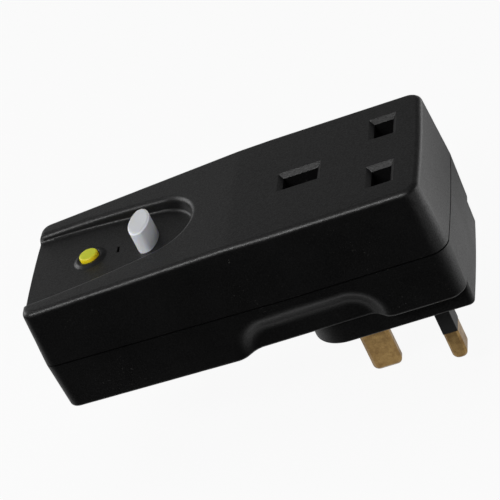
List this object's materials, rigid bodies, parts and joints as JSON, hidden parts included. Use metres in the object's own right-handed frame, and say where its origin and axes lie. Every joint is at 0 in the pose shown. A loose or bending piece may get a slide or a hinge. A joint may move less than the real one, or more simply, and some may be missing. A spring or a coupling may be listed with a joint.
{
  "type": "rcd plug adapter",
  "caption": "Plug-in residual current adapter: a long black two-part shell with rectangular pins at the rear, a shuttered socket and test and reset buttons at the front.",
  "frame": {"origin": "on the plug face, midway between the earth pin and the line through the live and neutral pins", "axes": "+Z out of the front face that holds the socket, so the plug pins point along -Z; +X along the length towards the live and neutral pins; the live side is -Y"},
  "size_m": [0.1111, 0.0488, 0.0644],
  "materials": {
    "housing_black": "fine-grained matte black moulded plastic",
    "button_yellow": "satin yellow moulded plastic",
    "button_grey": "satin light grey moulded plastic",
    "pin_brass": "plain drawn brass",
    "sleeve_black": "smooth black insulating sleeve",
    "block_cream": "cream moulded insulator",
    "contact_brass": "pressed brass sheet",
    "shutter_black": "black moulded nylon",
    "spring_steel": "spring steel wire",
    "board_green": "green coated circuit board",
    "screw_steel": "zinc-plated steel",
    "switch_black": "black moulded switch base",
    "core_steel": "plated soft iron",
    "bobbin_white": "white bobbin moulding",
    "coil_copper": "enamelled copper winding",
    "carrier_red": "red moulded carrier",
    "ring_blue": "blue epoxy-coated ring",
    "varistor_blue": "blue dipped disc",
    "capacitor_yellow": "yellow boxed film capacitor",
    "package_black": "black moulded package",
    "lead_brown": "brown insulated lead",
    "lead_blue": "blue insulated lead"
  },
  "bodies": {
    "adapter": {"front_housing": "housing_black", "rear_housing": "housing_black", "earth_pin": "pin_brass", "live_pin": "pin_brass", "neutral_pin": "pin_brass", "live_pin_sleeve": "sleeve_black", "neutral_pin_sleeve": "sleeve_black", "socket_block": "block_cream", "earth_contact": "contact_brass", "live_contact": "contact_brass", "neutral_contact": "contact_brass", "shutter_spring": "spring_steel", "circuit_board": "board_green", "board_screws": "screw_steel", "switch_base": "switch_black", "magnet_core": "core_steel", "coil_bobbin": "bobbin_white", "holding_coil": "coil_copper", "live_fixed_contacts": "contact_brass", "neutral_fixed_contacts": "contact_brass", "return_springs": "spring_steel", "test_leaf": "contact_brass", "test_post": "contact_brass", "transformer_core": "ring_blue", "transformer_winding": "coil_copper", "varistor": "varistor_blue", "film_capacitor": "capacitor_yellow", "control_chip": "package_black", "rectifier": "package_black", "chip_resistors": "package_black", "thyristor": "package_black", "live_supply_lead": "lead_brown", "neutral_supply_lead": "lead_blue", "live_load_lead": "lead_brown", "neutral_load_lead": "lead_blue", "housing_screws": "screw_steel"},
    "test": {"test_button": "button_yellow"},
    "reset": {"reset_button": "button_grey"},
    "switch_carrier": {"contact_carrier": "carrier_red", "armature": "core_steel", "live_bridge_contact": "contact_brass", "neutral_bridge_contact": "contact_brass", "contact_springs": "spring_steel", "reset_spring": "spring_steel"},
    "safety_shutter": {"shutter": "shutter_black"}
  },
  "joints": [
    {"name": "test_press", "type": "slide", "parent": "adapter", "child": "test", "axis": [0, 0, -1], "range_m": [0, 0.0015], "stiffness_N_per_m": 900, "springref_m": -0.0005, "deforming": ["test_leaf"]},
    {"name": "carrier_travel", "type": "slide", "parent": "adapter", "child": "switch_carrier", "axis": [0, 0, -1], "range_m": [0, 0.003], "stiffness_N_per_m": 900, "springref_m": -0.0005, "deforming": ["return_springs"]},
    {"name": "reset_press", "type": "slide", "parent": "adapter", "child": "reset", "axis": [0, 0, -1], "range_m": [0, 0.003], "stiffness_N_per_m": 500, "springref_m": -0.0005},
    {"name": "shutter_slide", "type": "slide", "parent": "adapter", "child": "safety_shutter", "axis": [-1, 0, 0], "range_m": [0, 0.0068], "stiffness_N_per_m": 150, "springref_m": -0.001, "deforming": ["shutter_spring"]}
  ],
  "couplings": [
    {"joint": "reset_press", "follows": "carrier_travel", "ratio": 1}
  ]
}
